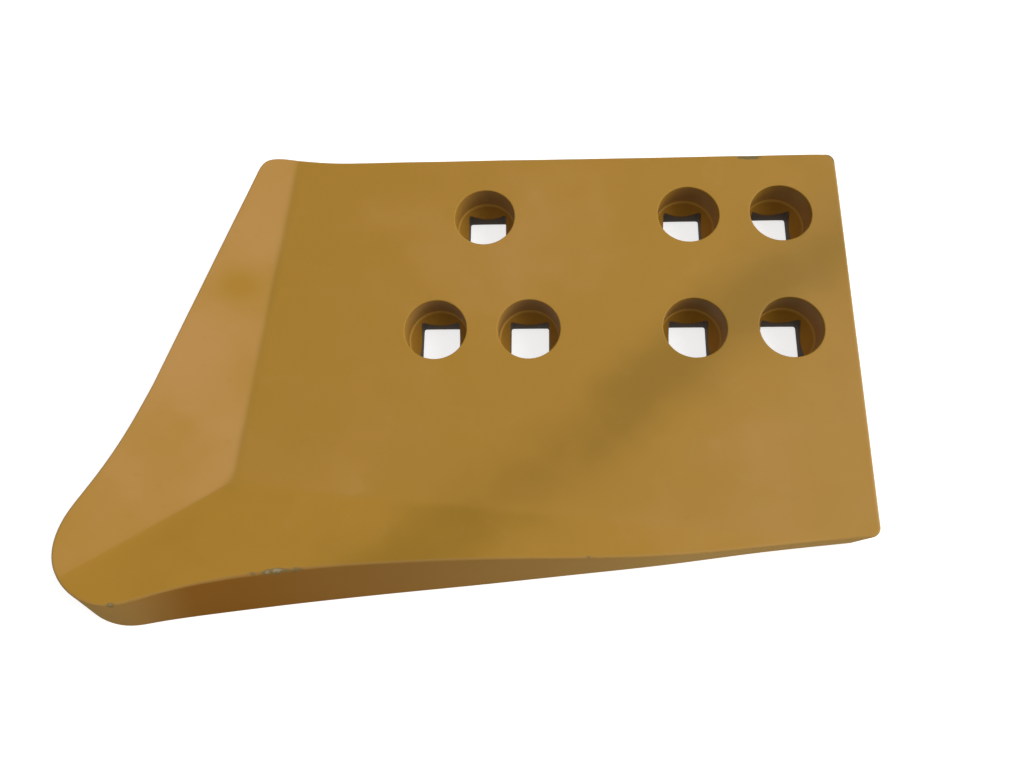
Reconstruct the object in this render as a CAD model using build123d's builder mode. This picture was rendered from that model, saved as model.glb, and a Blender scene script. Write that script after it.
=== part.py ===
from build123d import *
import os
from math import sqrt, tan, radians

# Dozer end bit: one thick forged steel plate with a swept, drooping nose.
# It lies on its back. +Z is up out of the front face, +X runs from the nose
# to the square end, +Y to the straight top edge. The origin is the centre of
# the outer box, on the back face. Millimetres.

# ---------------------------------------------------------------- dimensions
plate_t = 44.45            # flat part, back face to front face

# bolt recesses: a square grid broken by a wide gap, with one hole missing
pitch_x = 76.2             # between the two holes of each pair
pitch_y = 101.6            # lower row to upper row
group_gap = 209.55         # first lower hole to the outer pair
recess_d = 50.8            # round recess for the bolt head
recess_depth = 23.5        # straight wall of the recess
seat_half_angle = 40.0     # conical seat under the head
neck_side = 32.3           # square hole for the bolt's neck
neck_corner_r = 2.0

# raised facets of the front face
left_crease_x = -141.97    # where the left crease crosses the lower hole row
left_crease_run = 0.0895   # sideways run of the crease per millimetre of Y
corner = (-155.3, -125.4)  # where the three front faces meet
lower_crease_run = -0.0896 # fall of the lower crease per millimetre of X
left_rise = 0.20           # slope of the left facet
lower_rise = 0.25          # slope of the lower facet

# outer edges
top_y = 157.1
right_x = 335.4
corner_top_r = 5.0         # plan radius of the top right corner
corner_low_r = 8.0         # plan radius of the lower right corner
back_edge_r = 1.5          # softened edge round the back face

# position of the first lower hole in the part's frame; everything below is
# laid out from that hole
hole_x = -20.67
hole_y = 36.41

# Outline stations, as (front x, front y, back x, back y), from the first
# lower hole. The side wall joins each front point to its back point, so it
# leans out under the nose and stands square at the other end.
lower_edge = [
    (335.4, -164.4, 335.4, -164.4),
    (261.0, -171.6, 259.0, -173.0),
    (189.0, -179.2, 187.0, -182.8),
    (117.0, -182.3, 113.0, -191.5),
    (45.0, -183.7, 39.0, -199.9),
    (-27.0, -187.0, -34.0, -207.6),
    (-99.0, -193.2, -108.0, -216.0),
    (-157.0, -202.3, -170.0, -223.9),
    (-199.0, -213.2, -221.5, -231.5),
    (-224.0, -219.4, -244.0, -234.1),
    (-242.0, -217.1, -262.0, -230.5),
    (-255.5, -210.6, -276.0, -222.8),
    (-266.0, -201.5, -287.0, -211.2),
    (-272.3, -190.6, -292.8, -197.4),
    (-274.3, -176.0, -294.4, -180.0),
    (-270.2, -156.9, -287.0, -158.4),
    (-260.4, -137.6, -272.6, -136.9),
    (-247.4, -113.7, -255.6, -112.2),
    (-236.4, -89.4, -240.9, -88.3),
    (-227.0, -64.7, -228.6, -64.2),
    (-219.7, -43.7, -219.7, -43.7),
]
left_lean = 0.3085         # sideways run of the straight left edge per mm of Y
shoulder_start_y = 145.0   # end of the straight left edge
shoulder_y = 160.9         # the top edge swells to here beside the left facet
shoulder_x = (-138.0, -80.0)  # highest point of the swelling, and its end
shoulder_pull = 12.0       # fullness of the round upper left corner

# ------------------------------------------------------------------- layout
top_z = plate_t + 34.0     # the blank is taller than the nose, then cut down
far = 420.0                # well outside the plate
low_len = sqrt(1 + lower_crease_run ** 2)
left_len = sqrt(1 + left_crease_run ** 2)


def at(x, y):
    return (x + hole_x, y + hole_y)


def rise(x, y):
    """Height of the front surface over the flat face at a plan point."""
    left = (left_crease_x + left_crease_run * y - x) / left_len
    low = (corner[1] + lower_crease_run * (x - corner[0]) - y) / low_len
    return max(0.0, left_rise * left, lower_rise * low)


def raised(fx, fy, bx, by):
    """The wall's line through a front and a back point, carried up to top_z."""
    k = top_z / (plate_t + rise(fx, fy))
    return at(bx + (fx - bx) * k, by + (fy - by) * k)


def unit(p, q):
    d = sqrt((q[0] - p[0]) ** 2 + (q[1] - p[1]) ** 2)
    return ((q[0] - p[0]) / d, (q[1] - p[1]) / d)


def outline(place):
    """One closed outline of the blank; place maps a station to a plan point."""
    low = [place(*s) for s in lower_edge]
    x, y = lower_edge[-1][:2]
    run_out = at(x + left_lean * 250.0, y + 250.0)
    Spline(low, tangents=[unit(low[0], low[1]), unit(low[-1], run_out)])
    Line(low[-1], run_out)
    Polyline(run_out, at(far, far), at(far, lower_edge[0][1] + 6.0))
    Line(at(far, lower_edge[0][1] + 6.0), low[0])


holes = [
    at(0, 0),
    at(pitch_x, 0),
    at(group_gap, 0),
    at(group_gap + pitch_x, 0),
    at(pitch_x / 2, pitch_y),
    at(group_gap, pitch_y),
    at(group_gap + pitch_x, pitch_y),
]
recess_r = recess_d / 2
seat_end_r = neck_side / 2 - 1.0
seat_h = (recess_r - seat_end_r) / tan(radians(seat_half_angle))

# -------------------------------------------------------------------- model
# the space in front of the flat face, bounded by the two facets
space_left = Plane(
    origin=(*at(left_crease_x, 0.0), plate_t),
    z_dir=(left_rise / left_len, -left_rise * left_crease_run / left_len, 1.0),
)
space_low = Plane(
    origin=(*at(*corner), plate_t),
    z_dir=(
        -lower_rise * lower_crease_run / low_len,
        lower_rise / low_len,
        1.0,
    ),
)
with BuildPart() as space:
    with BuildSketch(Plane.XY.offset(plate_t)):
        Rectangle(2 * far, 2 * far)
    extrude(amount=60.0)
    split(bisect_by=space_left, keep=Keep.TOP)
    split(bisect_by=space_low, keep=Keep.TOP)

with BuildPart() as end_bit:
    # blank: the lower and left walls run straight from the back outline to
    # the outline at the blank's top
    with BuildSketch(Plane.XY):
        with BuildLine():
            outline(lambda fx, fy, bx, by: at(bx, by))
        make_face()
    with BuildSketch(Plane.XY.offset(top_z)):
        with BuildLine():
            outline(raised)
        make_face()
    loft(ruled=True)

    # square walls: the top edge with its shoulder, and the right end
    with BuildSketch(Plane.XY):
        with BuildLine():
            along = unit((0.0, 0.0), (left_lean, 1.0))
            x, y = lower_edge[-1][:2]
            x += left_lean * (shoulder_start_y - y)
            y = shoulder_start_y
            x1, x2 = shoulder_x
            Bezier(
                at(x, y),
                at(x + along[0] * shoulder_pull, y + along[1] * shoulder_pull),
                at(x1 - 16.5, shoulder_y),
                at(x1, shoulder_y),
            )
            Bezier(
                at(x1, shoulder_y),
                at(x1 + 16.0, shoulder_y),
                at(x2 - 30.0, top_y),
                at(x2, top_y),
            )
            Line(at(x2, top_y), at(right_x, top_y))
            Polyline(
                at(right_x, top_y),
                at(right_x, -far),
                at(-far, -far),
                at(-far, y - 60.0),
                at(x, y),
            )
        make_face()
    extrude(amount=top_z, mode=Mode.INTERSECT)

    # front: the flat face and the two facets that rise from it
    add(space.part, mode=Mode.SUBTRACT)

    # plan radii of the two corners at the square end
    upright = end_bit.edges().filter_by(
        lambda e: abs(e.center().X - at(right_x, 0)[0]) < 1.0
        and abs(e.bounding_box().size.Z) > 20.0
    ).sort_by(Axis.Y)
    fillet(upright[-1], corner_top_r)
    upright = end_bit.edges().filter_by(
        lambda e: abs(e.center().X - at(right_x, 0)[0]) < 1.0
        and abs(e.bounding_box().size.Z) > 20.0
        and e.center().Y < 0
    )
    fillet(upright, corner_low_r)

    # softened edge round the back face
    fillet(end_bit.faces().sort_by(Axis.Z)[0].edges(), back_edge_r)

    # bolt holes: round recess, conical seat, square neck
    with BuildSketch(Plane.XY.offset(plate_t)):
        with Locations(*holes):
            Circle(recess_r)
    extrude(amount=-recess_depth, mode=Mode.SUBTRACT)
    with Locations(*[(x, y, plate_t - recess_depth) for x, y in holes]):
        Cone(
            seat_end_r,
            recess_r,
            seat_h,
            align=(Align.CENTER, Align.CENTER, Align.MAX),
            mode=Mode.SUBTRACT,
        )
    with BuildSketch(Plane.XY):
        with Locations(*holes):
            RectangleRounded(neck_side, neck_side, neck_corner_r)
    extrude(amount=plate_t, mode=Mode.SUBTRACT)

end_bit.part.label = "end_bit"
os.makedirs("parts", exist_ok=True)
export_step(end_bit.part, "parts/end_bit.step")

b = end_bit.part.bounding_box()
print("box", b.min, b.max, "volume", end_bit.part.volume)
print("valid", end_bit.part.is_valid, "solids", len(end_bit.part.solids()))
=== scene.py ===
import math

import bpy
import numpy as np
from mathutils import Matrix, Vector
from mathutils.geometry import delaunay_2d_cdt


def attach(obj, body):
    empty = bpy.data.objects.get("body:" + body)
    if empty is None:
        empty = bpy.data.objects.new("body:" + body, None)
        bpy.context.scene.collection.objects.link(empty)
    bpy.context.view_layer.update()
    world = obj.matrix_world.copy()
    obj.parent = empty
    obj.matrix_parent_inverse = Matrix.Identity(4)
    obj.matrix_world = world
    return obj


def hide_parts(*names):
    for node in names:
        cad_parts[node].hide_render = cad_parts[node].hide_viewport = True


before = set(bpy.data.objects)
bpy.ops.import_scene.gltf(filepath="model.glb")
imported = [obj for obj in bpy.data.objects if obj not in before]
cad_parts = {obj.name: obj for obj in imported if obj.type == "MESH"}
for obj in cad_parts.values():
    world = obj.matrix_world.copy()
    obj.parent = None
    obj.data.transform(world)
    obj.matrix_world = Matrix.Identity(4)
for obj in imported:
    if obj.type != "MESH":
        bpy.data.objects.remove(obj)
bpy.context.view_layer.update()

# ------------------------------------------------------------ dimensions, mm
# The same layout as the CAD part: everything is laid out from the first lower
# bolt hole, and (HX, HY) is that hole's place in the part's frame.
HX, HY = -20.67, 36.41
T = 44.45
PITCH_X, PITCH_Y, GAP = 76.2, 101.6, 209.55
RECESS_R, RECESS_DEPTH = 25.4, 23.5
SEAT_TAN = math.tan(math.radians(40.0))
NECK_HALF, NECK_R = 16.15, 2.0
HOLES = [
    (0.0, 0.0),
    (PITCH_X, 0.0),
    (GAP, 0.0),
    (GAP + PITCH_X, 0.0),
    (PITCH_X / 2, PITCH_Y),
    (GAP, PITCH_Y),
    (GAP + PITCH_X, PITCH_Y),
]
LEFT_X, LEFT_RUN, LEFT_RISE = -141.97, 0.0895, 0.20
CORNER, LOW_RUN, LOW_RISE = (-155.3, -125.4), -0.0896, 0.25
TOP_Y, RIGHT_X = 157.1, 335.4
LEFT_LEAN = 0.3085
LOWER = np.array([
    (335.4, -164.4, 335.4, -164.4),
    (261.0, -171.6, 259.0, -173.0),
    (189.0, -179.2, 187.0, -182.8),
    (117.0, -182.3, 113.0, -191.5),
    (45.0, -183.7, 39.0, -199.9),
    (-27.0, -187.0, -34.0, -207.6),
    (-99.0, -193.2, -108.0, -216.0),
    (-157.0, -202.3, -170.0, -223.9),
    (-199.0, -213.2, -221.5, -231.5),
    (-224.0, -219.4, -244.0, -234.1),
    (-242.0, -217.1, -262.0, -230.5),
    (-255.5, -210.6, -276.0, -222.8),
    (-266.0, -201.5, -287.0, -211.2),
    (-272.3, -190.6, -292.8, -197.4),
    (-274.3, -176.0, -294.4, -180.0),
    (-270.2, -156.9, -287.0, -158.4),
    (-260.4, -137.6, -272.6, -136.9),
    (-247.4, -113.7, -255.6, -112.2),
    (-236.4, -89.4, -240.9, -88.3),
    (-227.0, -64.7, -228.6, -64.2),
    (-219.7, -43.7, -219.7, -43.7),
])


# ---------------------------------------------------------------- small tools
def value_noise(x, y, cell, seed):
    """Smooth seeded noise in 0..1 over the plane, one value per cell corner."""
    rng = np.random.default_rng(seed)
    table = rng.random((256, 256))
    x, y = np.asarray(x, float) / cell + 37.3, np.asarray(y, float) / cell + 11.9
    ix, iy = np.floor(x).astype(int), np.floor(y).astype(int)
    fx, fy = x - ix, y - iy
    fx, fy = fx * fx * (3 - 2 * fx), fy * fy * (3 - 2 * fy)
    t = lambda a, b: table[a % 256, b % 256]
    return (
        t(ix, iy) * (1 - fx) * (1 - fy)
        + t(ix + 1, iy) * fx * (1 - fy)
        + t(ix, iy + 1) * (1 - fx) * fy
        + t(ix + 1, iy + 1) * fx * fy
    )


def line_noise(s, cell, seed):
    return value_noise(s, np.zeros_like(s), cell, seed)


def soft_max(a, b, k):
    return 0.5 * (a + b + np.sqrt((a - b) ** 2 + k * k))


def bell(d, w):
    return np.exp(-(np.asarray(d) / w) ** 2)


LEFT_LEN, LOW_LEN = math.hypot(1, LEFT_RUN), math.hypot(1, LOW_RUN)


def crease_distances(x, y):
    """How far a plan point is past the left crease and past the lower crease."""
    left = (LEFT_X + LEFT_RUN * y - x) / LEFT_LEN
    low = (CORNER[1] + LOW_RUN * (x - CORNER[0]) - y) / LOW_LEN
    return left, low


def to_nose(x, y):
    """0 where the three front faces meet, 1 well out on the nose."""
    return np.clip(((CORNER[0] - x) * 0.83 + (CORNER[1] - y) * 0.56) / 120.0, 0, 1)


def front_z(x, y):
    """Height of the front face: three flats joined by soft valleys, with the
    slight waviness of a forging."""
    left, low = crease_distances(x, y)
    base = soft_max(0.0, LOW_RISE * low, 1.9 - 0.7 * np.clip((x + 150) / 250, 0, 1))
    z = soft_max(base, LEFT_RISE * left, 0.30 + 2.6 * to_nose(x, y) ** 2)
    wave = 0.32 * (value_noise(x, y, 95.0, 3) - 0.5) + 0.16 * (value_noise(x, y, 34.0, 4) - 0.5)
    return T + z - 0.12 + wave


def crease_mark(x, y):
    """1 on the valley lines, fading over a few millimetres."""
    left, low = crease_distances(x, y)
    a, b, c = np.zeros_like(x), LEFT_RISE * left, LOW_RISE * low
    s = np.sort(np.stack([a, b, c]), axis=0)
    gap = (s[2] - s[1]) / 0.22
    flat_low = np.clip((x - CORNER[0]) / 12.0, 0, 1) * np.clip((CORNER[1] + 12.0 - y) / 12.0, 0, 1)
    return bell(gap, 2.6) * (1.0 - 0.88 * flat_low) * (1.0 - to_nose(x, y)) ** 1.5


def tone_and_shade_field(x, y):
    """Where the coat is darker (below 0) or lighter (above 0): a few broad, soft-edged painted shadow bands, chalkier
    and fuller patches of the coat, painted light on the left facet, and painted shade on the lower facet, the browner
    lower wall and where the faces meet."""
    along, off = (x - 150.0) * 0.79 + (y + 62.0) * 0.613, (x - 150.0) * -0.613 + (y + 62.0) * 0.79
    wander = 14.0 * (value_noise(x, y, 80.0, 31) - 0.5)
    # painted shadow: a broad soft darker band across the face, and a second, narrower one across the left facet and
    # onto the face
    shadow_band = bell(off + wander, 37.0) * (0.52 + 0.46 * bell(along - 25.0, 115.0))
    b_off = (y - 46.0) - 0.33 * (x + 140.0)
    second = bell(b_off + wander, 20.0) * bell(x + 120.0, 95.0)
    t = -0.95 * shadow_band - 0.34 * second - 0.50 * bell(np.hypot((x + 167.0) / 1.3, y - 39.0), 12.0)
    t = t + 0.14 - 0.42 * np.clip((x - 110.0) / 230.0, 0, 1) * np.clip((y + 150.0) / 120.0, 0.35, 1)
    t = t + 0.30 * bell(np.hypot((x - 60.0) / 1.5, y - 70.0), 60.0)
    t = t + 0.25 * bell(np.hypot(x - 265.0, (y + 95.0) / 1.2), 60.0)
    t = t + 0.35 * bell(np.hypot((x - 190.0) / 2.2, y + 168.0), 24.0)
    t = t + 0.20 * bell(np.hypot(x + 200.0, (y + 25.0) / 1.2), 34.0)
    left, low = crease_distances(x, y)
    over = LEFT_RISE * left - np.maximum(0.0, LOW_RISE * low)
    lit_left_facet = np.clip(0.5 + over / 0.7, 0, 1)
    # painted light: the left facet is made lighter, less so towards the nose
    t = t + 0.50 * lit_left_facet * (1.0 - 0.7 * to_nose(x, y))
    # painted shade: darker past the lower valley, on the lower facet and lower wall, fading out towards the square end
    below = np.clip(low / 5.0, 0, 1) * (1.0 - lit_left_facet)
    t = t - 0.30 * below * np.clip((230.0 - x) / 160.0, 0, 1)
    # painted shade: a small darker spot where the three faces meet
    t = t - 0.30 * bell(np.hypot(x - CORNER[0] - 3.0, y - CORNER[1] + 1.0), 7.0)
    t = t + 0.25 * (value_noise(x, y, 46.0, 33) - 0.5) + 0.16 * (value_noise(x, y, 17.0, 34) - 0.5)
    return 0.5 + 0.5 * np.clip(t, -1, 1)


# ------------------------------------------------------------------- outline
def spline_slopes(t, p, d0, d1):
    """Slopes of the smooth cubic through p at t, with given end slopes."""
    n = len(t)
    h = np.diff(t)
    m, r = np.zeros((n, n)), np.zeros_like(p)
    m[0, 0] = m[-1, -1] = 1.0
    r[0], r[-1] = d0, d1
    for i in range(1, n - 1):
        m[i, i - 1], m[i, i + 1] = 1 / h[i - 1], 1 / h[i]
        m[i, i] = 2 * (1 / h[i - 1] + 1 / h[i])
        r[i] = 3 * ((p[i] - p[i - 1]) / h[i - 1] ** 2 + (p[i + 1] - p[i]) / h[i] ** 2)
    return np.linalg.solve(m, r)


def spline_at(t, p, m, u):
    i = np.clip(np.searchsorted(t, u, side="right") - 1, 0, len(t) - 2)
    h = (t[i + 1] - t[i])[:, None]
    w = ((u - t[i]) / (t[i + 1] - t[i]))[:, None]
    return (
        (2 * w ** 3 - 3 * w ** 2 + 1) * p[i]
        + (w ** 3 - 2 * w ** 2 + w) * h * m[i]
        + (-2 * w ** 3 + 3 * w ** 2) * p[i + 1]
        + (w ** 3 - w ** 2) * h * m[i + 1]
    )


def even(path, step):
    """Points along a path (front and back together) about step apart."""
    d = np.hypot(*np.diff(path[:, :2], axis=0).T) + np.hypot(*np.diff(path[:, 2:], axis=0).T)
    s = np.r_[0, np.cumsum(d / 2)]
    n = max(2, int(round(s[-1] / step)) + 1)
    u = np.linspace(0, s[-1], n)
    return np.stack([np.interp(u, s, path[:, k]) for k in range(4)], 1)


def both(xy):
    return np.concatenate([xy, xy], 1)


def bezier(p0, p1, p2, p3, n=60):
    t = np.linspace(0, 1, n)[:, None]
    return (1 - t) ** 3 * p0 + 3 * t * (1 - t) ** 2 * p1 + 3 * t * t * (1 - t) * p2 + t ** 3 * p3


def arc(start, d1, turn, r, n):
    """Clockwise arc from start, heading d1, with radius r."""
    c = start + np.array([d1[1], -d1[0]]) * r
    a0 = math.atan2(start[1] - c[1], start[0] - c[0])
    a = a0 - np.linspace(0, turn, n)
    return c + r * np.stack([np.cos(a), np.sin(a)], 1)


f, b = LOWER[:, :2], LOWER[:, 2:]
chord = 0.5 * (np.hypot(*np.diff(f, axis=0).T) + np.hypot(*np.diff(b, axis=0).T))
tt = np.r_[0, np.cumsum(chord)]
up = np.array([LEFT_LEAN, 1.0]) / math.hypot(LEFT_LEAN, 1.0)
ends = []
for q in (f, b):
    d = q[1] - q[0]
    ends.append(d / np.hypot(*d))
m = spline_slopes(tt, LOWER, np.r_[ends[0], ends[1]], np.r_[up, up])
fine = spline_at(tt, LOWER, m, np.linspace(0, tt[-1], 6000))
turn = math.acos(-ends[0][1])
cut = 8.0 * math.tan(turn / 2)
fine = fine[np.hypot(fine[:, 0] - RIGHT_X, fine[:, 1] - LOWER[0, 1]) > cut]
y1 = 145.0
x1 = LOWER[-1, 0] + LEFT_LEAN * (y1 - LOWER[-1, 1])
p = np.array
s1 = bezier(p([x1, y1]), p([x1, y1]) + up * 12.0, p([-154.5, 160.9]), p([-138.0, 160.9]))
s2 = bezier(p([-138.0, 160.9]), p([-122.0, 160.9]), p([-110.0, TOP_Y]), p([-80.0, TOP_Y]))
corner_top = arc(p([RIGHT_X - 7.5, TOP_Y]), p([1.0, 0.0]), math.pi / 2, 7.5, 14)
corner_low = arc(p([RIGHT_X, LOWER[0, 1] + cut]), p([0.0, -1.0]), turn, 8.0, 16)
STEP = 1.7
parts = [
    even(fine, STEP),
    even(both(np.stack([LOWER[-1, :2], p([x1, y1])])), 2.4),
    even(both(s1), 1.2),
    even(both(s2), 2.2),
    even(both(np.stack([s2[-1], corner_top[0]])), 2.8),
    both(corner_top),
    even(both(np.stack([corner_top[-1], corner_low[0]])), 2.8),
    both(corner_low),
]
loop = np.concatenate([q[:-1] for q in parts])
N = len(loop)
F2, B2 = loop[:, :2].copy(), loop[:, 2:].copy()


def inward(q):
    d = np.roll(q, -1, 0) - np.roll(q, 1, 0)
    d /= np.hypot(*d.T)[:, None]
    return np.stack([d[:, 1], -d[:, 0]], 1)


nf, nb = inward(F2), inward(B2)
S = np.r_[0, np.cumsum(np.hypot(*np.diff(F2, axis=0).T))]
total = S[-1] + np.hypot(*(F2[0] - F2[-1]))
is_low = np.arange(N) < len(parts[0]) - 60

# ------------------------------------------------ rings round the outer edge
# Knocks on the lower front edge: (place along X, reach, depth)
knocks = [(-222.0, 4.0, 0.9), (-208.0, 3.0, 0.5), (-124.0, 4.0, 0.6), (-108.0, 9.0, 0.75), (-93.0, 4.0, 0.6),
          (-60.0, 3.0, 0.4), (60.0, 3.0, 0.4), (121.0, 4.0, 0.8), (176.0, 3.0, 0.4)]
worn = np.zeros(N)
low_front = F2[:, 1] < -160
for kx, kw, kd in knocks:
    worn += np.where(low_front, bell(F2[:, 0] - kx, kw), 0) * kd
top_edge = F2[:, 1] > 156
for kx, kw, kd in [(266.0, 9.0, 0.7), (-60.0, 5.0, 0.3), (120.0, 4.0, 0.3)]:
    worn += np.where(top_edge, bell(F2[:, 0] - kx, kw), 0) * kd
worn += np.where(low_front, bell(F2[:, 0] + 108.0, 32.0), 0) * 0.42
worn += 0.85 * bell(np.hypot(F2[:, 0] - 331.0, F2[:, 1] - 152.0), 13.0)
rough = line_noise(S, 7.0, 11) * 0.5 + line_noise(S, 2.8, 12) * 0.5
radius = 1.3 + 0.5 * line_noise(S, 40.0, 13) + np.where(low_front, 0.3, 0.2)
radius += worn * (0.3 + 0.8 * rough)
k = np.array([0.25, 0.5, 0.25])
for _ in range(3):
    radius = k[0] * np.roll(radius, 1) + k[1] * radius + k[2] * np.roll(radius, -1)


def ring(xy, z):
    return np.concatenate([xy, np.reshape(z, (-1, 1))], 1)


rings, tags = [], []     # tags: (edge closeness, wall share)
f_true = ring(F2, front_z(F2[:, 0], F2[:, 1]))
b_true = ring(B2, np.zeros(N))
down = b_true - f_true
length = np.linalg.norm(down, axis=1)
down /= length[:, None]
a_xy = F2 + nf * radius[:, None]
A = ring(a_xy, front_z(a_xy[:, 0], a_xy[:, 1]))
a0_xy = F2 + nf * (radius[:, None] + 1.1)
A0 = ring(a0_xy, front_z(a0_xy[:, 0], a0_xy[:, 1]))
W = f_true + down * radius[:, None]
rings += [A0, A]
tags += [(0.15, 0.0), (0.75, 0.0)]
dent = np.clip(worn - 0.25, 0, 1) * (rough - 0.35) * 0.9
for t in (0.2, 0.4, 0.6, 0.8):
    c1, c2 = A + 0.56 * (f_true - A), W + 0.56 * (f_true - W)
    q = (1 - t) ** 3 * A + 3 * t * (1 - t) ** 2 * c1 + 3 * t * t * (1 - t) * c2 + t ** 3 * W
    q[:, :2] += nf * (np.clip(dent, 0, 1) * math.sin(math.pi * t))[:, None]
    rings.append(q)
    tags.append((1.0, 0.25 + 0.5 * t))
back_r = 1.6
wb = b_true - down * back_r
rows = 9
for j in range(rows + 1):
    t = j / rows
    q = W * (1 - t) + wb * t
    w = 0.22 * (value_noise(S, q[:, 2], 30.0, 21) - 0.5) * math.sin(math.pi * t)
    q[:, :2] += nf * w[:, None]
    rings.append(q)
    tags.append((math.exp(-j * 1.1) * 0.75, 1.0))
c_in = ring(B2 + nb * back_r, np.zeros(N))
for t in (0.33, 0.67):
    c1, c2 = wb + 0.56 * (b_true - wb), c_in + 0.56 * (b_true - c_in)
    rings.append((1 - t) ** 3 * wb + 3 * t * (1 - t) ** 2 * c1 + 3 * t * t * (1 - t) * c2 + t ** 3 * c_in)
    tags.append((0.0, 1.0))
rings.append(c_in)
tags.append((0.0, 1.0))

# ------------------------------------------------------------ mesh collection
verts, uv_tris, tris, uv_quads, quads, quad_mats = [], [], [], [], [], []
attr = {"edge": [], "wall": [], "deep": [], "neck": [], "crease": [], "under": [], "tone_and_shade": [], "worn": [], "brown": [], "painted_fill_light": []}
count = 0


def put(points, **marks):
    """Adds points and their marks, and gives the number of the first."""
    global count
    points = np.asarray(points, float)
    verts.append(points)
    marks["tone_and_shade"] = tone_and_shade_field(points[:, 0], points[:, 1])
    for name, bag in attr.items():
        v = marks.get(name, 0.0)
        bag.append(np.broadcast_to(np.asarray(v, float), (len(points),)).copy())
    count += len(points)
    return count - len(points)


def strip(first, second, n, u0, u1, along, v_at, mat):
    """Quads between two closed rings of n points. v_at maps a place along the
    ring to the sheet of the finish map."""
    i = np.arange(n)
    j = (i + 1) % n
    quads.append(np.stack([first + i, first + j, second + j, second + i], 1))
    quad_mats.append(np.full(n, mat))
    s0, s1 = along[:-1], along[1:]
    du0, v0 = v_at(s0, s0)
    du1, v1 = v_at(s1, s0)
    uv = np.empty((n, 4, 2))
    uv[:, 0, 0], uv[:, 0, 1] = u0 + du0, v0
    uv[:, 1, 0], uv[:, 1, 1] = u0 + du1, v1
    uv[:, 2, 0], uv[:, 2, 1] = u1 + du1, v1
    uv[:, 3, 0], uv[:, 3, 1] = u1 + du0, v0
    uv_quads.append(uv)


FRONT_S = 0.00118      # finish map units per mm
X_MIN, Y_MIN = -294.5, -234.2


def front_uv(x, y):
    return np.stack([0.008 + (x - X_MIN) * FRONT_S, 0.515 + (y - Y_MIN) * FRONT_S], -1)


def back_uv(x, y):
    return np.stack([0.008 + (x - X_MIN) * FRONT_S, 0.02 + (y - Y_MIN) * FRONT_S], -1)


ring_first = []
brown = np.clip((190.0 - F2[:, 0]) / 330.0, 0, 1) ** 0.8 * np.clip((F2[:, 0] + 250.0) / 80.0, 0, 1) * (F2[:, 1] < -150)
for q, (e, w) in zip(rings, tags):
    ring_first.append(put(q, edge=e, wall=w, worn=np.clip(worn, 0, 1) * e, brown=brown * w,
                          crease=crease_mark(q[:, 0], q[:, 1]) * (1 - w)))
along = np.r_[S, total]
half = along[N // 2]
WALL_S = 0.96 / max(half, total - half)


def wall_v(s, start):
    """The wall is cut into two strips, side by side."""
    second = start >= half
    return np.where(second, 0.092, 0.0), 0.02 + (s - np.where(second, half, 0.0)) * WALL_S


mean_gap = [np.linalg.norm(rings[j + 1] - rings[j], axis=1).mean() for j in range(len(rings) - 1)]
across = np.r_[0, np.cumsum(mean_gap)]
across = 0.765 + across / across[-1] * 0.084
for j in range(len(rings) - 1):
    strip(ring_first[j], ring_first[j + 1], N, across[j], across[j + 1], along, wall_v, 0 if j < 4 else 1)

# ---------------------------------------------------------------- bolt recesses
quarter = np.r_[np.linspace(-45 + 4.6, 45 - 4.6, 24), np.linspace(45 - 3.4, 45 + 3.4, 7)]
theta = np.radians(np.concatenate([quarter + 90 * q for q in range(4)]))
M = len(theta)


def neck_radius(th):
    """Distance from the axis to the rounded square, in each direction."""
    a = np.abs(((th + math.pi / 4) % (math.pi / 2)) - math.pi / 4)
    flat = NECK_HALF / np.cos(a)
    c = NECK_HALF - NECK_R
    diag = c * math.sqrt(2)
    off = np.abs(a - math.pi / 4)
    inside = np.clip(NECK_R ** 2 - (diag * np.sin(off)) ** 2, 0, None)
    rounded = diag * np.cos(off) + np.sqrt(inside)
    return np.where(a > math.atan2(c, NECK_HALF), rounded, flat)


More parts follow.
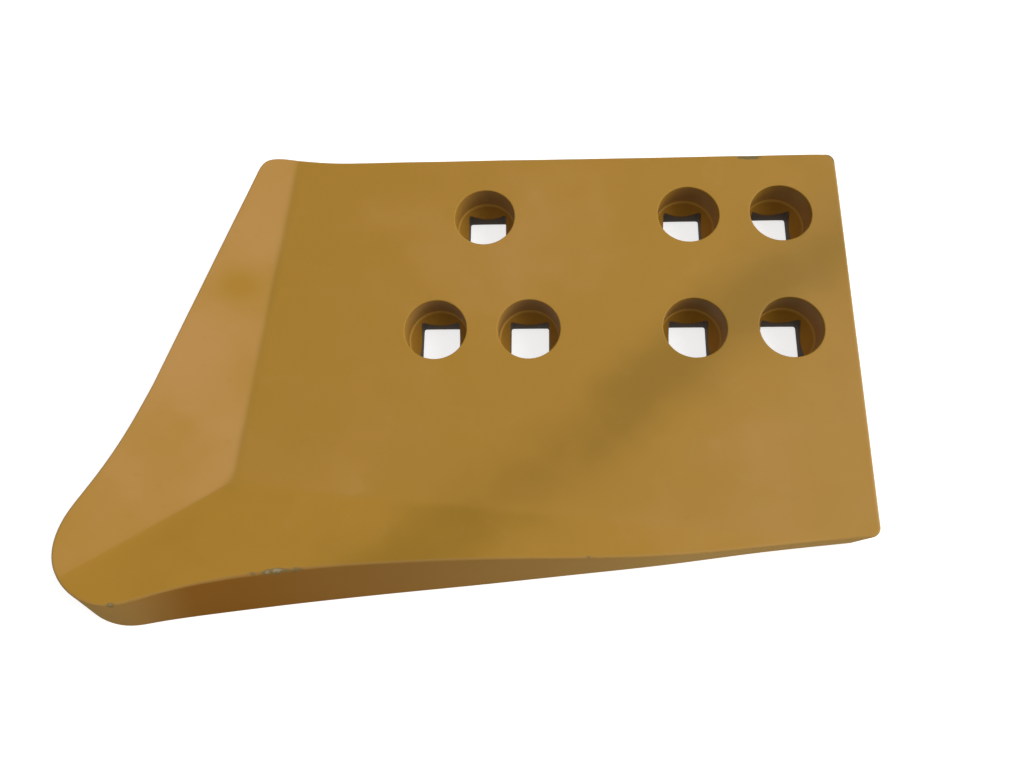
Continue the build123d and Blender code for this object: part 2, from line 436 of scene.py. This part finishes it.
rs = neck_radius(theta)
seat_top = T - RECESS_DEPTH
hole_rings, neck_rings = [], []
circ = np.unwrap(theta)
circ = np.r_[circ, circ[0] + 2 * math.pi] - circ[0]
for h, (cx, cy) in enumerate(HOLES):
    cs, sn = np.cos(theta), np.sin(theta)
    seq = []

    def at(r, z):
        r = np.broadcast_to(np.asarray(r, float), (M,))
        return np.stack([cx + r * cs, cy + r * sn, np.broadcast_to(np.asarray(z, float), (M,))], 1)

    rim = 0.55 + 0.25 * value_noise(np.cos(theta) * 30, np.sin(theta) * 30, 14.0, 50 + h)
    for r in (RECESS_R + rim + 0.9, RECESS_R + rim):
        q = at(r, 0)
        q[:, 2] = front_z(q[:, 0], q[:, 1])
        seq.append((q, 0.0, 0.0, 0.25))
    top = seq[-1][0][:, 2]
    for a in (22, 45, 68, 90):
        a = math.radians(a)
        seq.append((at(RECESS_R + rim * (1 - math.sin(a)), top - rim * (1 - math.cos(a))), 0.08, 0.0, 0.8 if a < 1.3 else 0.4))
    z_a = seat_top + 1.6
    for t in (0.12, 0.3, 0.5, 0.7, 0.86, 1.0):
        seq.append((at(RECESS_R, (top - rim) * (1 - t) + z_a * t), 0.1 + 0.5 * t, 0.0, 0.0))
    seq.append((at(RECESS_R - 0.35, seat_top + 0.35), 0.66, 0.0, 0.0))
    seat = lambda r: seat_top - (RECESS_R - r) / SEAT_TAN
    for t in (0.0, 0.25, 0.5, 0.75, 1.0):
        r = (RECESS_R - 1.1) * (1 - t) + (rs + 0.7) * t
        seq.append((at(r, seat(r)), 0.68 + 0.2 * t, 0.0, 0.0))
    edge_z = seat(rs)
    seq.append((at(rs + 0.22, edge_z + 0.1), 0.95, 0.5, 0.0))
    seq.append((at(rs, edge_z - 0.6), 1.0, 0.9, 0.0))
    for t in (0.35, 0.7, 1.0):
        seq.append((at(rs, (edge_z - 0.6) * (1 - t) + 1.2 * t), 1.0, 1.0, 0.0))
    seq.append((at(rs + 0.35, 0.35), 1.0, 1.0, 0.0))
    seq.append((at(rs + 1.2, 0.0), 1.0, 1.0, 0.0))
    # painted light: a warmer, lighter colour on the side of the recess that faces the nose stands in for light
    # reaching it
    side = np.clip(np.cos(theta + 0.35), 0, 1) ** 1.4 * (0.85 if cx > 150.0 else 0.35)
    firsts = [put(q, deep=dp, neck=nk, edge=ed, painted_fill_light=side * min(1.0, dp * 3.0) * (1.0 - nk)) for q, dp, nk, ed in seq]
    gaps = [np.linalg.norm(seq[j + 1][0] - seq[j][0], axis=1).mean() for j in range(len(seq) - 1)]
    ac = np.r_[0, np.cumsum(gaps)]
    ac = 0.952 + ac / ac[-1] * 0.042
    base_v = 0.02 + h * 0.1385
    for j in range(len(seq) - 1):
        strip(firsts[j], firsts[j + 1], M, ac[j], ac[j + 1], circ,
              lambda s, s0: (np.zeros_like(s), base_v + s / (2 * math.pi) * 0.128), 0 if j < 4 else 2)
    hole_rings.append((firsts[0], seq[0][0]))
    neck_rings.append((firsts[-1], seq[-1][0]))

# ------------------------------------------------------------------ front face
def inside(points, poly):
    """Which points lie within a closed outline."""
    x, y = points[:, 0], points[:, 1]
    odd = np.zeros(len(points), bool)
    px, py = poly[:, 0], poly[:, 1]
    qx, qy = np.roll(px, -1), np.roll(py, -1)
    for i in range(len(poly)):
        hit = (py[i] > y) != (qy[i] > y)
        if hit.any():
            xs = (qx[i] - px[i]) * (y[hit] - py[i]) / (qy[i] - py[i]) + px[i]
            idx = np.flatnonzero(hit)
            odd[idx] ^= x[hit] < xs
    return odd


def far_from(points, poly, d):
    """Which points are further than d from every point of an outline."""
    ok = np.ones(len(points), bool)
    for i in range(0, len(points), 2000):
        q = points[i:i + 2000]
        dd = ((q[:, None, :] - poly[None, :, :]) ** 2).sum(2).min(1)
        ok[i:i + 2000] = dd > d * d
    return ok


def valley_rows():
    """Rows of points that follow the three valleys of the front face."""
    c = np.array(CORNER)
    left_dir = np.array([LEFT_RUN, 1.0]) / LEFT_LEN
    low_dir = np.array([1.0, LOW_RUN]) / LOW_LEN
    # the diagonal: where both facets have the same height
    ga = LEFT_RISE * np.array([-1.0, LEFT_RUN]) / LEFT_LEN
    gb = LOW_RISE * np.array([LOW_RUN, -1.0]) / LOW_LEN
    g = ga - gb
    diag = np.array([g[1], -g[0]]) / np.hypot(*g)
    if diag[0] > 0:
        diag = -diag
    out = []
    for d, reach, offs, step in (
        (left_dir, 300.0, (0, -1.2, 1.2, -2.6, 2.6, -4.6, 4.6), 3.2),
        (diag, 160.0, (0, -1.6, 1.6, -3.6, 3.6), 3.2),
        (low_dir, 420.0, (0, -3.0, 3.0, -6.5, 6.5), 4.0),
    ):
        nrm = np.array([-d[1], d[0]])
        for k, o in enumerate(offs):
            s = np.arange(1.5 + abs(o), reach, step) + (step / 2 if k % 2 else 0)
            out.append(c + s[:, None] * d + o * nrm)
    return np.concatenate(out), (left_dir, diag, low_dir)


rows_xy, (ld, dd_, wd) = valley_rows()
gx = np.arange(-290.0, 336.0, 3.6)
gy = np.arange(-232.0, 162.0, 3.6 * 0.866)
X, Y = np.meshgrid(gx, gy)
X[1::2] += 1.8
grid = np.stack([X.ravel(), Y.ravel()], 1)
rng = np.random.default_rng(5)
grid += rng.uniform(-0.35, 0.35, grid.shape)
keep = np.ones(len(grid), bool)
for d, reach, w in ((ld, 302.0, 6.4), (dd_, 162.0, 5.4), (wd, 422.0, 8.6)):
    q = grid - np.array(CORNER)
    s, o = q @ d, q @ np.array([-d[1], d[0]])
    keep &= ~((s > -2) & (s < reach) & (np.abs(o) < w))
inner = np.concatenate([np.array([CORNER]), rows_xy, grid[keep]])
outer_xy = A0[:, :2]
inner = inner[inside(inner, outer_xy)]
inner = inner[far_from(inner, outer_xy, 1.5)]
for cx, cy in HOLES:
    inner = inner[np.hypot(inner[:, 0] - cx, inner[:, 1] - cy) > RECESS_R + 4.2]
order, seen, chosen = 1.05, set(), []
for i, (x, y) in enumerate(inner):
    key = (int(x // order), int(y // order))
    if key in seen:
        continue
    seen.add(key)
    chosen.append(i)
inner = inner[chosen]


def triangulate(outer, holes, inner_xy):
    """Triangles over the plate within outer and outside holes. Gives them as
    numbers into outer + holes + inner points."""
    pts = np.concatenate([outer] + holes + ([inner_xy] if len(inner_xy) else []))
    n_ring = len(outer) + sum(len(q) for q in holes)
    edges, start = [], 0
    for q in [outer] + holes:
        n = len(q)
        edges += [(start + i, start + (i + 1) % n) for i in range(n)]
        start += n
    got = delaunay_2d_cdt([Vector(v) for v in pts], edges, [], 0, 1e-6, True)
    if len(got[0]) != len(pts):
        raise RuntimeError(f"triangulation moved points: {len(got[0])} for {len(pts)}")
    back = np.array([o[0] for o in got[3]])
    t = back[np.array(got[2])]
    ring_only = (t < n_ring).all(1)
    mid = pts[t].mean(1)
    ok = np.ones(len(t), bool)
    idx = np.flatnonzero(ring_only)
    test = inside(mid[idx], outer)
    for q in holes:
        test &= ~inside(mid[idx], q)
    ok[idx] = test
    return t[ok]


near = np.full(len(inner), 99.0)
for i in range(0, len(inner), 2000):
    q = inner[i:i + 2000]
    near[i:i + 2000] = np.sqrt(((q[:, None, :] - F2[None, ::2, :]) ** 2).sum(2).min(1))
edge_in = 0.35 * np.exp(-np.clip(near - 3.0, 0, None) / 3.0)
first_inner = put(ring(inner, front_z(inner[:, 0], inner[:, 1])), edge=edge_in,
                  crease=crease_mark(inner[:, 0], inner[:, 1]))
t = triangulate(outer_xy, [q[:, :2] for _, q in hole_rings], inner)
numbers = np.concatenate(
    [ring_first[0] + np.arange(N)]
    + [s + np.arange(M) for s, _ in hole_rings]
    + [first_inner + np.arange(len(inner))]
)
flat_xy = np.concatenate([outer_xy] + [q[:, :2] for _, q in hole_rings] + [inner])
tris.append(numbers[t])
uv_tris.append(front_uv(flat_xy[t][..., 0], flat_xy[t][..., 1]))
front_ids = numbers
# ------------------------------------------------------------------- back face
outer_b = c_in[:, :2]
gx, gy = np.meshgrid(np.arange(-285.0, 335.0, 16.0), np.arange(-228.0, 158.0, 16.0))
gb = np.stack([gx.ravel(), gy.ravel()], 1) + 0.37
gb = gb[inside(gb, outer_b)]
gb = gb[far_from(gb, outer_b, 7.0)]
for cx, cy in HOLES:
    gb = gb[np.hypot(gb[:, 0] - cx, gb[:, 1] - cy) > 29.0]
first_b = put(ring(gb, np.zeros(len(gb))), under=1.0)
t = triangulate(outer_b, [q[:, :2] for _, q in neck_rings], gb)
numbers = np.concatenate(
    [ring_first[-1] + np.arange(N)]
    + [s + np.arange(M) for s, _ in neck_rings]
    + [first_b + np.arange(len(gb))]
)
flat_xy = np.concatenate([outer_b] + [q[:, :2] for _, q in neck_rings] + [gb])
tris.append(numbers[t][:, ::-1])
uv_tris.append(back_uv(flat_xy[t][..., 0], flat_xy[t][..., 1])[:, ::-1])

# ------------------------------------------------------------- the mesh itself
co = np.concatenate(verts)
co_m = co.copy()
co_m[:, 0] += HX
co_m[:, 1] += HY
co_m *= 0.001
all_quads, all_tris = np.concatenate(quads), np.concatenate(tris)
mesh = bpy.data.meshes.new("end_bit_skin")
mesh.from_pydata(co_m.tolist(), [], all_quads.tolist() + all_tris.tolist())
uv = mesh.uv_layers.new(name="OFBake")
flat = np.concatenate([np.concatenate(uv_quads).reshape(-1, 2), np.concatenate(uv_tris).reshape(-1, 2)])
uv.data.foreach_set("uv", flat.astype(np.float32).ravel())
for name, bag in attr.items():
    a = mesh.attributes.new(name, "FLOAT", "POINT")
    a.data.foreach_set("value", np.concatenate(bag).astype(np.float32))
mesh.polygons.foreach_set("use_smooth", np.ones(len(mesh.polygons), bool))
mesh.polygons.foreach_set("material_index", np.r_[np.concatenate(quad_mats), np.zeros(len(all_tris), int)].astype(np.int32))
mesh.update()
# shading on the front face follows its true slope, not the triangles
normals = np.empty(len(co) * 3, np.float32)
mesh.vertex_normals.foreach_get("vector", normals)
normals = normals.reshape(-1, 3)
fx, fy = co[front_ids, 0], co[front_ids, 1]
e = 0.25
dzx = (front_z(fx + e, fy) - front_z(fx - e, fy)) / (2 * e)
dzy = (front_z(fx, fy + e) - front_z(fx, fy - e)) / (2 * e)
nn = np.stack([-dzx, -dzy, np.ones_like(dzx)], 1)
normals[front_ids] = nn / np.linalg.norm(nn, axis=1)[:, None]
mesh.normals_split_custom_set_from_vertices(normals.tolist())
skin = bpy.data.objects.new("end_bit_skin", mesh)
bpy.context.scene.collection.objects.link(skin)
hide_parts("end_bit")
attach(skin, "root")
print("skin: verts", len(co), "triangles", 2 * len(all_quads) + len(all_tris))


# ------------------------------------------------------------------- materials
class Nodes:
    def __init__(self, tree):
        self.t = tree
        tree.nodes.clear()

    def new(self, kind, **props):
        n = self.t.nodes.new(kind)
        for k, v in props.items():
            setattr(n, k, v)
        return n

    def link(self, a, b):
        self.t.links.new(a, b)

    def put(self, socket, v):
        if isinstance(v, bpy.types.NodeSocket):
            self.link(v, socket)
        elif v is not None:
            socket.default_value = v

    def math(self, op, a, b=None, c=None, clamp=False):
        n = self.new("ShaderNodeMath", operation=op, use_clamp=clamp)
        self.put(n.inputs[0], a)
        if b is not None:
            self.put(n.inputs[1], b)
        if c is not None:
            self.put(n.inputs[2], c)
        return n.outputs[0]

    def mix(self, fac, a, b):
        n = self.new("ShaderNodeMix", data_type="RGBA")
        self.put(n.inputs[0], fac)
        self.put(n.inputs[6], a)
        self.put(n.inputs[7], b)
        return n.outputs[2]

    def blend(self, fac, a, b):
        n = self.new("ShaderNodeMix", data_type="FLOAT")
        self.put(n.inputs[0], fac)
        self.put(n.inputs[2], a)
        self.put(n.inputs[3], b)
        return n.outputs[0]

    def noise(self, vec, scale, detail=3.0, rough=0.5, distort=0.0):
        n = self.new("ShaderNodeTexNoise")
        self.link(vec, n.inputs["Vector"])
        n.inputs["Scale"].default_value = scale
        n.inputs["Detail"].default_value = detail
        n.inputs["Roughness"].default_value = rough
        n.inputs["Distortion"].default_value = distort
        return n.outputs["Fac"]

    def ramp(self, v, lo, hi, a=0.0, b=1.0):
        n = self.new("ShaderNodeMapRange", interpolation_type="SMOOTHSTEP")
        self.put(n.inputs[0], v)
        for i, x in ((1, lo), (2, hi), (3, a), (4, b)):
            n.inputs[i].default_value = x
        return n.outputs[0]

    def attribute(self, name):
        return self.new("ShaderNodeAttribute", attribute_type="GEOMETRY", attribute_name=name).outputs["Fac"]


def rgb(r, g, b):
    return (r, g, b, 1.0)


def paint_material(name, shine):
    mat = bpy.data.materials.new(name)
    mat.use_nodes = True
    n = Nodes(mat.node_tree)
    out = n.new("ShaderNodeOutputMaterial")
    bsdf = n.new("ShaderNodeBsdfPrincipled")
    n.link(bsdf.outputs[0], out.inputs[0])
    pos = n.new("ShaderNodeTexCoord").outputs["Object"]
    edge, wall = n.attribute("edge"), n.attribute("wall")
    deep, neck, crease = n.attribute("deep"), n.attribute("neck"), n.attribute("crease")
    under = n.attribute("under")

    broad = n.noise(pos, 5.5, 2.0, 0.45)
    patch = n.noise(pos, 19.0, 4.0, 0.55, 0.4)
    fine = n.noise(pos, 95.0, 5.0, 0.6)
    grain = n.noise(pos, 620.0, 3.0, 0.55)

    # the coat: chalky where it has faded, olive where it is fuller; the tone and shade field also carries painted
    # shadow bands, painted light on the left facet and painted shade on the lower facet
    tone_and_shade_in, worn_in, brown_in = n.attribute("tone_and_shade"), n.attribute("worn"), n.attribute("brown")
    fill_light_in = n.attribute("painted_fill_light")
    tone_and_shade = n.math("ADD", tone_and_shade_in, n.math("MULTIPLY", n.math("SUBTRACT", patch, 0.5), 0.22))
    col = n.mix(n.ramp(tone_and_shade, 0.0, 0.5), rgb(0.262, 0.139, 0.006), rgb(0.360, 0.187, 0.0170))
    col = n.mix(n.ramp(tone_and_shade, 0.5, 1.0), col, rgb(0.425, 0.228, 0.060))
    speck = n.ramp(fine, 0.60, 0.74)
    col = n.mix(n.math("MULTIPLY", speck, 0.14), col, rgb(0.27, 0.15, 0.018))
    dust = n.ramp(n.noise(pos, 38.0, 5.0, 0.62, 0.8), 0.54, 0.76)
    col = n.mix(n.math("MULTIPLY", dust, 0.08), col, rgb(0.44, 0.28, 0.09))

    # the lower wall is stained brown towards the nose
    col = n.mix(n.math("MULTIPLY", wall, 0.9), col, rgb(0.375, 0.240, 0.084))
    col = n.mix(n.math("MULTIPLY", brown_in, 0.92), col, rgb(0.226, 0.090, 0.0115))

    # painted shade: the valleys are darkened, patchily, where the faces meet
    valley_shade = n.math("MULTIPLY", crease, n.ramp(patch, 0.30, 0.62, 0.35, 0.85))
    col = n.mix(n.math("MULTIPLY", valley_shade, 0.34), col, rgb(0.19, 0.12, 0.014))

    # recesses: painted shade deepening down the walls, mottled with stains, and the necks almost bare and oxidised,
    # darkened further as painted shade
    recess_shade_and_stain = n.math("MULTIPLY", n.ramp(deep, 0.0, 0.5), n.ramp(patch, 0.32, 0.66, 0.62, 1.0))
    col = n.mix(n.math("MULTIPLY", recess_shade_and_stain, 0.85), col, rgb(0.225, 0.106, 0.011))
    # painted light: warmer and lighter on the side of each recess that faces the nose
    col = n.mix(n.math("MULTIPLY", fill_light_in, 0.75), col, rgb(0.42, 0.185, 0.024))
    # painted highlight: a lighter line round the foot of the recess wall, where the seat begins
    off_seat = n.math("ABSOLUTE", n.math("SUBTRACT", deep, 0.655))
    seat_highlight = n.ramp(off_seat, 0.005, 0.045, 1.0, 0.0)
    col = n.mix(n.math("MULTIPLY", seat_highlight, 0.60), col, rgb(0.52, 0.30, 0.06))
    # necks: bare oxidised steel, made near black as painted shade
    col = n.mix(neck, col, rgb(0.050, 0.034, 0.020))

    # knocked edges: dark primer, and a little bare steel in the middle
    chip_noise = n.math("ADD", n.math("MULTIPLY", fine, 0.65), n.math("MULTIPLY", n.noise(pos, 260.0, 3.0, 0.6), 0.35))
    chip_sum = n.math("ADD", n.math("MULTIPLY", worn_in, 0.26), chip_noise)
    chip_sum = n.math("ADD", chip_sum, n.math("MULTIPLY", edge, 0.075))
    chip = n.ramp(chip_sum, 0.72, 0.79)
    col = n.mix(n.math("MULTIPLY", chip, 0.7), col, rgb(0.150, 0.120, 0.050))
    bare = n.ramp(chip_sum, 0.85, 0.92)
    col = n.mix(n.math("MULTIPLY", bare, 0.7), col, rgb(0.36, 0.30, 0.19))
    # one long dark scrape just inside the top edge, near the square end
    axes = n.new("ShaderNodeSeparateXYZ")
    n.link(pos, axes.inputs[0])
    sx = n.math("MULTIPLY", n.math("SUBTRACT", axes.outputs[0], 0.2440), 80.0)
    sy = n.math("MULTIPLY", n.math("SUBTRACT", axes.outputs[1], 0.1914), 430.0)
    near = n.math("ADD", n.math("MULTIPLY", sx, sx), n.math("MULTIPLY", sy, sy))
    near = n.math("ADD", near, n.math("MULTIPLY", n.math("SUBTRACT", fine, 0.5), 3.2))
    scrape = n.ramp(near, 0.35, 1.25, 1.0, 0.0)
    scrape = n.math("MULTIPLY", scrape, n.math("SUBTRACT", 1.0, wall))
    col = n.mix(n.math("MULTIPLY", scrape, 0.75), col, rgb(0.085, 0.090, 0.040))
    n.link(col, bsdf.inputs["Base Color"])
    n.link(n.math("MULTIPLY", bare, 0.2), bsdf.inputs["Metallic"])

    rough = n.math("ADD", n.ramp(patch, 0.25, 0.75, 0.40, 0.54), n.math("MULTIPLY", grain, 0.05))
    rough = n.blend(n.math("MULTIPLY", deep, 0.8), rough, 0.66)
    rough = n.blend(chip, rough, 0.6)
    n.link(rough, bsdf.inputs["Roughness"])
    bsdf.inputs["Specular IOR Level"].default_value = shine

    # skin of the coat: soft orange peel, faint forging lumps, chips sunk in
    height = n.math("ADD", n.math("MULTIPLY", grain, 0.05), n.math("MULTIPLY", n.noise(pos, 210.0, 2.0, 0.5), 0.16))
    height = n.math("ADD", height, n.math("MULTIPLY", patch, 0.5))
    height = n.math("SUBTRACT", height, n.math("MULTIPLY", chip, 0.35))
    bump = n.new("ShaderNodeBump")
    bump.inputs["Strength"].default_value = 0.35
    bump.inputs["Distance"].default_value = 0.0004
    n.link(height, bump.inputs["Height"])
    n.link(bump.outputs[0], bsdf.inputs["Normal"])
    return mat


mesh.materials.append(paint_material("ochre_satin_paint", 0.28))
mesh.materials.append(paint_material("ochre_dull_wall", 0.0))
mesh.materials.append(paint_material("ochre_recess", 0.10))


def floor_material():
    mat = bpy.data.materials.new("pale_floor")
    mat.use_nodes = True
    b = mat.node_tree.nodes["Principled BSDF"]
    b.inputs["Base Color"].default_value = (0.56, 0.56, 0.56, 1)
    b.inputs["Roughness"].default_value = 0.9
    b.inputs["Specular IOR Level"].default_value = 0.1
    b.inputs["Emission Color"].default_value = (1, 1, 1, 1)
    b.inputs["Emission Strength"].default_value = 0.70
    return mat


fm = bpy.data.meshes.new("floor")
fm.from_pydata([(-8, -8, -0.0003), (8, -8, -0.0003), (8, 8, -0.0003), (-8, 8, -0.0003)], [], [(0, 1, 2, 3)])
fm.materials.append(floor_material())
floor = bpy.data.objects.new("floor", fm)
bpy.context.scene.collection.objects.link(floor)

# ------------------------------------------------------------------- lighting
scene = bpy.context.scene
scene.view_settings.view_transform = "Standard"
world = bpy.data.worlds.new("studio")
scene.world = world
world.use_nodes = True
wn = Nodes(world.node_tree)
wout = wn.new("ShaderNodeOutputWorld")
bg = wn.new("ShaderNodeBackground")
wn.link(bg.outputs[0], wout.inputs[0])
bg.inputs["Color"].default_value = (0.98, 0.985, 1.0, 1)
toward = wn.new("ShaderNodeTexCoord").outputs["Generated"]
axes = wn.new("ShaderNodeSeparateXYZ")
wn.link(toward, axes.inputs[0])
zenith = wn.ramp(axes.outputs[2], 0.60, 0.97, 0.0, 1.0)
behind = wn.ramp(axes.outputs[1], -0.5, 0.5, 0.12, 0.24)
wn.link(wn.math("ADD", wn.math("MULTIPLY", zenith, 0.75), behind), bg.inputs["Strength"])


def area(name, place, aim, size, power, colour=(1, 1, 1)):
    light = bpy.data.lights.new(name, "AREA")
    light.shape = "RECTANGLE"
    light.size, light.size_y = size
    light.energy = power
    light.color = colour
    o = bpy.data.objects.new(name, light)
    scene.collection.objects.link(o)
    o.location = place
    o.rotation_euler = (Vector(aim) - Vector(place)).to_track_quat("-Z", "Y").to_euler()
    o.visible_camera = False
    return o


area("right_softbox", (6.5, 1.2, 5.5), (0.0, 0.0, 0.0), (8.0, 6.8), 815.0, (1.0, 0.985, 0.955))

# --------------------------------------------------------------------- camera
cam = bpy.data.cameras.new("camera")
cam.sensor_width = 36.0
cam.lens = 768.94 / 1024 * 36.0
cam.clip_start = 0.02
cam.clip_end = 50.0
co_ = bpy.data.objects.new("camera", cam)
scene.collection.objects.link(co_)
R = np.array([
    [0.998632, 0.011106, -0.051084],
    [-0.004097, -0.957542, -0.288266],
    [-0.052117, 0.288081, -0.956187],
])
mw = Matrix.Identity(4)
for i in range(3):
    mw[i][0], mw[i][1], mw[i][2] = R[0, i], -R[1, i], -R[2, i]
mw[0][3], mw[1][3], mw[2][3] = 0.07418, -0.18606, 0.62730
co_.matrix_world = mw
scene.camera = co_
